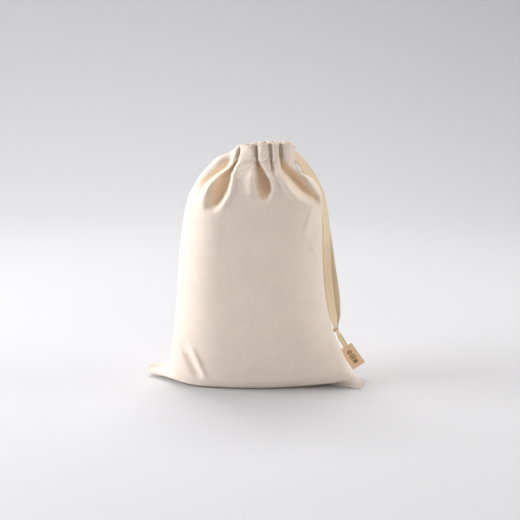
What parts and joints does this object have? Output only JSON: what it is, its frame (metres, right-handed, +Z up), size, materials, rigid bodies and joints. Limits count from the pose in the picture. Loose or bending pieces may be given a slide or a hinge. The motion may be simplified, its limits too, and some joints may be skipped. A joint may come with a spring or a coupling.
{
  "type": "drawstring gift sack",
  "caption": "Cotton cloth gift sack that stands filled out, with a gathered neck drawn closed by a flat tape in a casing, and a small label on the tape's end.",
  "frame": {"origin": "on the floor, under the middle of the standing sack", "axes": "+X to the right along the bottom seam, towards the side with the slit and the tape; +Y to the back; +Z up"},
  "size_m": [0.2575, 0.106, 0.282],
  "materials": {
    "cotton_cloth": "plain weave natural cotton, matt",
    "cotton_tape": "flat herringbone cotton tape, matt",
    "thread": "spun cotton thread",
    "label": "smooth folded woven label, kraft brown",
    "label_ink": "dark brown print"
  },
  "bodies": {
    "sack": {"front_panel": "cotton_cloth", "back_panel": "cotton_cloth", "bottom_seam_allowance": "cotton_cloth", "left_seam_allowance": "cotton_cloth", "right_seam_allowance": "cotton_cloth", "bottom_seam_thread": "thread", "left_seam_thread": "thread", "right_seam_thread": "thread"},
    "mouth_front": {"front_gathers": "cotton_cloth", "front_casing": "cotton_cloth", "front_casing_thread": "thread", "drawstring_front_run": "cotton_tape"},
    "mouth_back": {"back_gathers": "cotton_cloth", "back_casing": "cotton_cloth", "back_casing_thread": "thread", "drawstring_back_run": "cotton_tape"},
    "drawstring_legs": {"drawstring_front_leg": "cotton_tape", "drawstring_back_leg": "cotton_tape"},
    "knot": {"drawstring_knot": "cotton_tape"},
    "tag": {"drawstring_tails": "cotton_tape", "label": "label", "label_stitches": "thread", "label_print": "label_ink"}
  },
  "joints": [
    {"name": "mouth_open", "type": "hinge", "parent": "sack", "child": "mouth_front", "pos_m": [0, -0.0439, 0.2125], "axis": [1, 0, 0], "range_deg": [0, 20]},
    {"name": "mouth_open_back", "type": "hinge", "parent": "sack", "child": "mouth_back", "pos_m": [0, 0.0439, 0.2125], "axis": [-1, 0, 0], "range_deg": [0, 20]},
    {"name": "drawstring_swing", "type": "hinge", "parent": "sack", "child": "drawstring_legs", "pos_m": [0.0515, 0, 0.2695], "axis": [0, -1, 0], "range_deg": [0, 60]},
    {"name": "drawstring_draw", "type": "slide", "parent": "drawstring_legs", "child": "knot", "axis": [-0.1, 0, 0.995], "range_m": [0, 0.045], "deforming": ["drawstring_front_leg", "drawstring_back_leg"]},
    {"name": "tag_swing", "type": "hinge", "parent": "knot", "child": "tag", "pos_m": [0.0998, 0.0015, 0.056], "axis": [0, -1, 0], "range_deg": [0, 60]}
  ],
  "couplings": [
    {"joint": "mouth_open_back", "follows": "mouth_open", "ratio": 1},
    {"joint": "drawstring_draw", "follows": "mouth_open", "m_per_rad": 0.1289}
  ]
}
